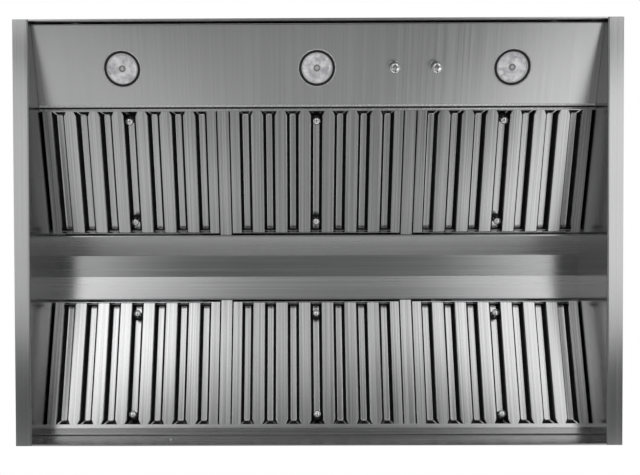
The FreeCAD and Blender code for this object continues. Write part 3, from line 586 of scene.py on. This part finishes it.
# leaves only the points, edges or faces selected that pass the test
def pick(piece, kind, test):
    bpy.ops.mesh.select_mode(type=kind)
    bpy.ops.mesh.select_all(action="DESELECT")
    shape = bmesh.from_edit_mesh(piece.data)
    if kind == "VERT":
        for point in shape.verts:
            point.select_set(test(point.co))
    elif kind == "EDGE":
        for edge in shape.edges:
            edge.select_set(test(edge.verts[0].co, edge.verts[1].co))
    else:
        for face in shape.faces:
            face.select_set(test(face.calc_center_median(), face.normal))
    shape.select_flush_mode()
    bmesh.update_edit_mesh(piece.data)


def near(a, b):
    return abs(a - b) < meshSetup["near"]


def roundEdges(width, steps):
    bpy.ops.mesh.bevel(offset=width, segments=steps)


def smoothShade(degrees):
    bpy.ops.object.shade_smooth_by_angle(angle=math.radians(degrees))


# a profile of (radius, height) points carried round the Z axis
def turnedPiece(name, profile, sides, ring=False, smooth=True):
    clearSelection()
    radius, height = profile[0]
    bpy.ops.mesh.primitive_circle_add(vertices=sides, radius=radius, location=(0, 0, height),
                                      fill_type="NOTHING" if ring else "NGON")
    piece = bpy.context.object
    piece.name = name
    bpy.ops.object.transform_apply(location=True, rotation=True, scale=True)
    bpy.ops.object.mode_set(mode="EDIT")
    bpy.ops.mesh.select_all(action="SELECT")
    closing = profile[:1] if ring else []
    for nextRadius, nextHeight in profile[1:] + closing:
        rise = (0, 0, nextHeight - height)
        bpy.ops.mesh.extrude_region_move(TRANSFORM_OT_translate={"value": rise})
        share = nextRadius / radius
        bpy.ops.transform.resize(value=(share, share, 1))
        radius = nextRadius
        height = nextHeight
    bpy.ops.mesh.select_all(action="SELECT")
    bpy.ops.mesh.remove_doubles(threshold=meshSetup["merge"])
    bpy.ops.mesh.normals_make_consistent(inside=False)
    bpy.ops.object.mode_set(mode="OBJECT")
    if smooth:
        smoothShade(meshSetup["smoothDegrees"])
    return piece


# one mesh copy of the model for each place, joined into one piece
def placedCopies(name, model, places):
    copies = []
    for place in places:
        mesh = model.data.copy()
        mesh.transform(place)
        copy = bpy.data.objects.new(name, mesh)
        bpy.context.scene.collection.objects.link(copy)
        copies.append(copy)
    clearSelection()
    for copy in copies:
        copy.select_set(True)
    bpy.context.view_layer.objects.active = copies[0]
    if len(copies) > 1:
        bpy.ops.object.join()
    return bpy.context.view_layer.objects.active


# gives a finished piece its body and, when it has none, its material, and hides the frame nodes it
# stands for
def settle(piece, body, slot, material, *nodes):
    if not piece.data.materials:
        piece.data.materials.append(material)
    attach(piece, body)
    if nodes:
        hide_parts(*nodes)


# the flats are the lower baffles, and the covers the upper ones over the gaps
filterSetup = {
    "slope": 19.0,
    "start": -0.0052,           # from the lip's edge
    "end": 0.22518,
    "slots": 7,
    "flatWidth": 0.0220,
    "slotWidth": 0.0201,
    "flatBottom": 0.0008,
    "flatTop": 0.0118,
    "clipWidth": 0.0060,
    "clipLength": 0.0140,
    "flatFold": 0.0014,
    "coverFlat": 0.0112,
    "coverFeet": 0.0330,
    "coverTop": 0.0218,
    "coverFoot": 0.0104,
    "coverStart": 0.0150,       # its flat short of its two ends
    "coverEnd": 0.0012,
    "coverCorner": 0.0030,
    "coverFold": 0.0014,
    "gauge": 0.0008,
    "smoothDegrees": 40.0,
    "lyingFlat": 0.9,           # facing up or down by at least this
    "coverFlatFacing": 0.8,
}


# faces that turn away into the filter get a near-black painted shade, standing for the shade deep
# in the slots
def finishSheet(piece, inside):
    bpy.ops.object.mode_set(mode="OBJECT")
    wall = piece.modifiers.new("gauge", "SOLIDIFY")
    wall.thickness = filterSetup["gauge"]
    wall.offset = -1
    bpy.ops.object.modifier_apply(modifier=wall.name)
    smoothShade(filterSetup["smoothDegrees"])
    even = piece.modifiers.new("even", "WEIGHTED_NORMAL")
    even.keep_sharp = True
    bpy.ops.object.modifier_apply(modifier=even.name)
    piece.data.materials.append(filterSteel)
    piece.data.materials.append(filterPaintedShade)
    for face in piece.data.polygons:
        face.material_index = 1 if inside(face.center, face.normal) else 0
    return piece


# an open channel, its two ends at the lip clipped
def flatBaffle():
    f = filterSetup
    half = f["flatWidth"] / 2
    low = (-half, f["start"], f["flatBottom"])
    high = (half, f["end"], f["flatTop"])
    piece = startBlock("flatBaffle", low, high)
    pick(piece, "EDGE", lambda a, b: near(a.y, low[1]) and near(b.y, low[1]) and near(a.x, b.x))
    roundEdges(f["clipWidth"], 1)
    pick(piece, "VERT", lambda p: near(abs(p.x), half) and near(p.y, low[1] + f["clipWidth"]))
    bpy.ops.transform.translate(value=(0, f["clipLength"] - f["clipWidth"], 0))
    pick(piece, "FACE", lambda middle, normal: normal.z > f["lyingFlat"])
    bpy.ops.mesh.delete(type="FACE")
    pick(piece, "EDGE", lambda a, b: near(a.z, low[2]) and near(b.z, low[2]))
    roundEdges(f["flatFold"], meshSetup["roundSteps"])
    floor = f["flatBottom"] + f["flatFold"]
    # its legs above the fold get the painted shade
    return finishSheet(piece, lambda middle, normal: middle.z > floor
                       and abs(normal.z) < f["lyingFlat"])


# an upturned tray whose feet spread over the channels on both sides
def coverBaffle():
    f = filterSetup
    half = f["coverFlat"] / 2
    low = (-half, f["start"] + f["coverStart"], f["coverFoot"])
    high = (half, f["end"] - f["coverEnd"], f["coverTop"])
    piece = startBlock("coverBaffle", low, high)
    pick(piece, "FACE", lambda middle, normal: normal.z < -f["lyingFlat"])
    bpy.ops.mesh.delete(type="FACE")
    pick(piece, "VERT", lambda p: near(p.z, low[2]))
    bpy.ops.transform.resize(value=(f["coverFeet"] / f["coverFlat"], 1, 1))
    pick(piece, "VERT", lambda p: near(p.z, low[2]) and near(p.y, low[1]))
    bpy.ops.transform.translate(value=(0, -f["coverStart"], 0))
    pick(piece, "VERT", lambda p: near(p.z, low[2]) and near(p.y, high[1]))
    bpy.ops.transform.translate(value=(0, f["coverEnd"], 0))
    pick(piece, "EDGE", lambda a, b: not near(a.z, b.z))
    roundEdges(f["coverCorner"], meshSetup["roundSteps"])
    pick(piece, "EDGE", lambda a, b: near(a.z, high[2]) and near(b.z, high[2]))
    roundEdges(f["coverFold"], meshSetup["roundSteps"])
    # its sloped sides get the painted shade
    return finishSheet(piece, lambda middle, normal: abs(normal.z) < f["coverFlatFacing"])


# a filter's pivot, with Y up its slope; the rear row faces the other way
def filterPlace(row, column):
    turn = Matrix.Rotation(math.radians(180.0 if row == "rear" else 0.0), 4, "Z")
    tilt = Matrix.Rotation(math.radians(filterSetup["slope"]), 4, "X")
    return Matrix.Translation(jointPlaces[row + "_" + column + "_filter_drop"]) @ turn @ tilt


pullSetup = {
    "profile": [(0.0030, 0.0242), (0.0030, 0.0032), (0.0044, 0.0026), (0.0058, 0.0014),
                (0.0065, -0.0002), (0.0066, -0.0018), (0.0060, -0.0034), (0.0046, -0.0046),
                (0.0026, -0.0053), (0.0008, -0.0055)],
    "washer": [(0.0036, 0.0184), (0.0072, 0.0184), (0.0078, 0.0189), (0.0078, 0.0200),
               (0.0036, 0.0200)],
    "sides": 32,
    "places": (0.018, 0.20398),     # up the filter's slope
}


def movedTo(place, spots):
    return [place @ Matrix.Translation(spot) for spot in spots]


def makeFilters():
    f = filterSetup
    pitch = f["flatWidth"] + f["slotWidth"]
    middle = (f["slots"] - 1) / 2
    flatSpots = [((i - middle + 0.5) * pitch, 0, 0) for i in range(f["slots"] - 1)]
    coverSpots = [((i - middle) * pitch, 0, 0) for i in range(f["slots"])]
    pullSpots = [(0, y, 0) for y in pullSetup["places"]]
    flat = flatBaffle()
    cover = coverBaffle()
    pull = turnedPiece("pullKnob", pullSetup["profile"], pullSetup["sides"])
    washer = turnedPiece("pullWasher", pullSetup["washer"], pullSetup["sides"], ring=True)
    for row in ("front", "rear"):
        for column in ("left", "middle", "right"):
            body = "filter_" + row + "_" + column
            title = row + column.capitalize()
            place = filterPlace(row, column)
            flats = placedCopies(title + "Flats", flat, movedTo(place, flatSpots))
            covers = placedCopies(title + "Covers", cover, movedTo(place, coverSpots))
            pulls = placedCopies(title + "Pulls", pull, movedTo(place, pullSpots))
            washers = placedCopies(title + "PullWashers", washer, movedTo(place, pullSpots))
            settle(flats, body, "filter_steel", filterSteel, body + "_baffles")
            settle(covers, body, "filter_steel", filterSteel, body + "_baffles")
            settle(pulls, body, "polished_steel", polished, body + "_pulls")
            settle(washers, body, "switch_plastic", blackRubber)
    for model in (flat, cover, pull, washer):
        bpy.data.objects.remove(model)


makeFilters()
print("filters made")


panelSetup = {
    "frontHeight": 0.017,
    "rise": 0.052,
    "run": 0.135,
    "lampSetback": 0.072,
    "lampPlaces": (-0.336, 0.0, 0.336),
    "knobSetback": 0.070,
    "knobPlaces": {"fan": 0.133, "light": 0.205},
}


def panelSlope():
    return math.atan2(panelSetup["rise"], panelSetup["run"])


# a place on the panel's face, with Z square to it
def panelPlace(x, setback):
    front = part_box("light_panel")[0][1]
    height = panelSetup["frontHeight"] + setback * panelSetup["rise"] / panelSetup["run"]
    spot = Vector((x, front + setback, height))
    return Matrix.Translation(spot) @ Matrix.Rotation(panelSlope(), 4, "X")


# the profile of each of a lamp's pieces, the panel's face at height 0 and up into the lamp
lampSetup = {
    # the trims' near-white colour is a painted highlight
    "lampTrims": {
        "profile": [(0.0310, 0.0), (0.0310, -0.0009), (0.0313, -0.0016), (0.0318, -0.0020),
                    (0.0323, -0.0018), (0.0327, -0.0012), (0.0330, -0.0005), (0.0330, 0.0)],
        "sides": 96, "ring": True, "smooth": True,
        "slot": "polished_steel", "finish": paintedHighlightSteel, "nodes": ["lamp_trims"],
    },
    "lampGaskets": {
        "profile": [(0.0266, -0.0004), (0.0274, -0.0008), (0.0304, -0.0008), (0.0312, -0.0005),
                    (0.0312, -0.0001), (0.0294, 0.0001), (0.0294, 0.0012), (0.0266, 0.0012)],
        "sides": 96, "ring": True, "smooth": True,
        "slot": "switch_plastic", "finish": blackRubber, "nodes": [],
    },
    "lampBezels": {
        "profile": [(0.0246, 0.0016), (0.0246, 0.0004), (0.0248, -0.0008), (0.0254, -0.0016),
                    (0.0261, -0.0016), (0.0267, -0.0009), (0.0269, 0.0002), (0.0269, 0.0016)],
        "sides": 96, "ring": True, "smooth": True,
        "slot": "lens_glass", "finish": glassRim, "nodes": [],
    },
    "lampCans": {
        "profile": [(0.0275, 0.0014), (0.0285, 0.0014), (0.0285, 0.0450), (0.0274, 0.0460),
                    (0.0010, 0.0460), (0.0010, 0.0450), (0.0275, 0.0450)],
        "sides": 96, "ring": True, "smooth": True,
        "slot": "lamp_metal", "finish": aluminium, "nodes": ["lamp_cans"],
    },
    "lampLenses": {
        "profile": [(0.0008, -0.0001), (0.0026, 0.0002), (0.0040, 0.0010), (0.0056, 0.0016),
                    (0.0100, 0.0011), (0.0118, 0.0015), (0.0170, 0.0009), (0.0225, 0.0013),
                    (0.0251, 0.0022), (0.0258, 0.0030), (0.0258, 0.0038), (0.0240, 0.0040)],
        "sides": 96, "ring": False, "smooth": True,
        "slot": "lens_glass", "finish": glass, "nodes": ["lamp_glasses"],
    },
    "lampHubs": {
        "profile": [(0.0029, 0.0010), (0.0029, -0.0004), (0.0021, -0.0009), (0.0008, -0.0011)],
        "sides": 48, "ring": False, "smooth": True,
        "slot": "lens_glass", "finish": glassRim, "nodes": [],
    },
    "lampHubRings": {
        "profile": [(0.0031, -0.0003), (0.0046, -0.0004), (0.0059, 0.0001), (0.0060, 0.0018),
                    (0.0031, 0.0018)],
        "sides": 48, "ring": True, "smooth": True,
        "slot": "lens_glass", "finish": shadedGlass, "nodes": [],
    },
    "lampReflectors": {             # left in flat facets
        "profile": [(0.0252, 0.0052), (0.0243, 0.0120), (0.0226, 0.0190), (0.0200, 0.0260),
                    (0.0168, 0.0325), (0.0130, 0.0385), (0.0138, 0.0388), (0.0176, 0.0328),
                    (0.0208, 0.0263), (0.0234, 0.0192), (0.0251, 0.0122), (0.0260, 0.0053)],
        "sides": 24, "ring": True, "smooth": False,
        "slot": "reflector_metal", "finish": mirrorMetal, "nodes": ["lamp_reflectors"],
    },
    "lampSources": {
        "profile": [(0.0145, 0.0450), (0.0145, 0.0400), (0.0128, 0.0372), (0.0095, 0.0352),
                    (0.0050, 0.0342), (0.0010, 0.0340)],
        "sides": 48, "ring": False, "smooth": True,
        "slot": "light_source", "finish": source, "nodes": ["lamp_leds"],
    },
}


def makeLamps():
    places = [panelPlace(x, panelSetup["lampSetback"]) for x in panelSetup["lampPlaces"]]
    for name, part in lampSetup.items():
        model = turnedPiece(name + "Model", part["profile"], part["sides"], part["ring"],
                            part["smooth"])
        lamps = placedCopies(name, model, places)
        settle(lamps, "hood", part["slot"], part["finish"], *part["nodes"])
        bpy.data.objects.remove(model)


makeLamps()
print("lamps made")


# rounded bars along the panel's rear hem and the filters' lip, and between them a black strip as
# painted shade in the gap
edgeSetup = {
    "setback": 0.1446,          # the hem's line, up the panel's slope
    "endGap": 0.0005,
    "bars": {
        # the hem's near-white colour is a painted highlight
        "panelHem": {"low": (-0.0036, -0.0011), "high": (-0.0003, 0.0003), "round": 0.00055,
                     "slot": "bright_steel", "finish": paintedHighlightSteel},
        # painted shade: a black strip standing for the shadow in the gap between hem and lip
        "panelShadowStrip": {"low": (0.0000, 0.0014), "high": (0.0034, 0.0026), "round": 0.00010,
                       "slot": "switch_plastic", "finish": blackRubber},
        "panelLip": {"low": (0.0036, 0.0008), "high": (0.0068, 0.0026), "round": 0.00070,
                     "slot": "bright_steel", "finish": brightSteel},
    },
}


def makePanelEdge():
    low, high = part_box("light_panel")
    half = (high[0] - low[0]) / 2 - edgeSetup["endGap"]
    place = panelPlace(0, edgeSetup["setback"] * math.cos(panelSlope()))
    for name, bar in edgeSetup["bars"].items():
        model = startBlock("edgeModel", (-half,) + bar["low"], (half,) + bar["high"])
        bpy.ops.mesh.select_all(action="SELECT")
        roundEdges(bar["round"], meshSetup["roundSteps"])
        bpy.ops.object.mode_set(mode="OBJECT")
        smoothShade(meshSetup["smoothDegrees"])
        settle(placedCopies(name, model, [place]), "hood", bar["slot"], bar["finish"])
        bpy.data.objects.remove(model)


makePanelEdge()
print("panel edge made")


knobSetup = {
    "profile": [(0.0055, -0.0020), (0.0086, -0.0020), (0.0088, -0.0024), (0.0088, -0.0162),
                (0.0085, -0.0176), (0.0076, -0.0185), (0.0056, -0.0191), (0.0034, -0.0194),
                (0.0010, -0.0195)],
    "sides": 72,
    "markWidth": 0.0011,
    "markFrom": 0.0032,
    "markTo": 0.0080,
    "markFace": -0.0194,
    "markDepth": 0.0014,
    "markRound": 0.0001,
    "markSteps": 2,
}


def makeKnobs():
    k = knobSetup
    knob = turnedPiece("knobModel", k["profile"], k["sides"])
    low = (-k["markWidth"] / 2, k["markFrom"], k["markFace"])
    high = (k["markWidth"] / 2, k["markTo"], k["markFace"] + k["markDepth"])
    mark = startBlock("markModel", low, high)
    bpy.ops.mesh.select_all(action="SELECT")
    roundEdges(k["markRound"], k["markSteps"])
    bpy.ops.object.mode_set(mode="OBJECT")
    for control, x in panelSetup["knobPlaces"].items():
        body = control + "_control"
        places = [panelPlace(x, panelSetup["knobSetback"])]
        cap = placedCopies(control + "Knob", knob, places)
        settle(cap, body, "polished_steel", polished, control + "_knob")
        pointer = placedCopies(control + "KnobMark", mark, places)
        settle(pointer, body, "switch_plastic", blackRubber)
    for model in (knob, mark):
        bpy.data.objects.remove(model)


makeKnobs()
print("knobs made")


screwSetup = {
    "head": [(0.0036, 0.0), (0.0040, 0.0002), (0.0040, 0.0010), (0.0036, 0.0018),
             (0.0026, 0.0024), (0.0010, 0.0026)],
    "height": 0.0026,
    "sides": 24,
    "recessWidth": 0.0008,
    "recessLength": 0.0042,
    "recessDepth": 0.0014,
    "cutterTop": 0.0040,
    "merge": 1e-5,              # of the frame's loose triangles
}


# a round head with a crossed recess
def screwHead():
    s = screwSetup
    head = turnedPiece("screwModel", s["head"], s["sides"])
    floor = s["height"] - s["recessDepth"]
    arms = [(s["recessWidth"], s["recessLength"]), (s["recessLength"], s["recessWidth"])]
    for sizeX, sizeY in arms:
        cutter = startBlock("recessCutter", (-sizeX / 2, -sizeY / 2, floor),
                            (sizeX / 2, sizeY / 2, s["cutterTop"]))
        clearSelection()
        head.select_set(True)
        bpy.context.view_layer.objects.active = head
        cut = head.modifiers.new("recess", "BOOLEAN")
        cut.operation = "DIFFERENCE"
        cut.object = cutter
        bpy.ops.object.modifier_apply(modifier=cut.name)
        bpy.data.objects.remove(cutter)
    return head


# each head of the frame's screw node gives the place of a finished one
def screwPlaces():
    clearSelection()
    mesh = frame["nodes"]["body_screws"].data.copy()
    heads = bpy.data.objects.new("screwSpots", mesh)
    bpy.context.scene.collection.objects.link(heads)
    heads.select_set(True)
    bpy.context.view_layer.objects.active = heads
    bpy.ops.object.mode_set(mode="EDIT")
    bpy.ops.mesh.select_all(action="SELECT")
    bpy.ops.mesh.remove_doubles(threshold=screwSetup["merge"])
    bpy.ops.mesh.separate(type="LOOSE")
    bpy.ops.object.mode_set(mode="OBJECT")
    places = []
    for spot in list(bpy.context.selected_objects):
        points = [v.co for v in spot.data.vertices]
        low = Vector([min(p[i] for p in points) for i in range(3)])
        high = Vector([max(p[i] for p in points) for i in range(3)])
        size = high - low
        middle = (low + high) / 2
        if size.y < size.z:     # it stands on the rear wall
            seat = Matrix.Translation((middle.x, high.y, middle.z))
            places.append(seat @ Matrix.Rotation(math.pi / 2, 4, "X"))
        else:
            places.append(Matrix.Translation((middle.x, middle.y, low.z)))
        bpy.data.objects.remove(spot)
    return places


def makeScrews():
    head = screwHead()
    screws = placedCopies("bodyScrewHeads", head, screwPlaces())
    settle(screws, "hood", "bright_steel", brightSteel, "body_screws")
    bpy.data.objects.remove(head)


makeScrews()
print("screws made")
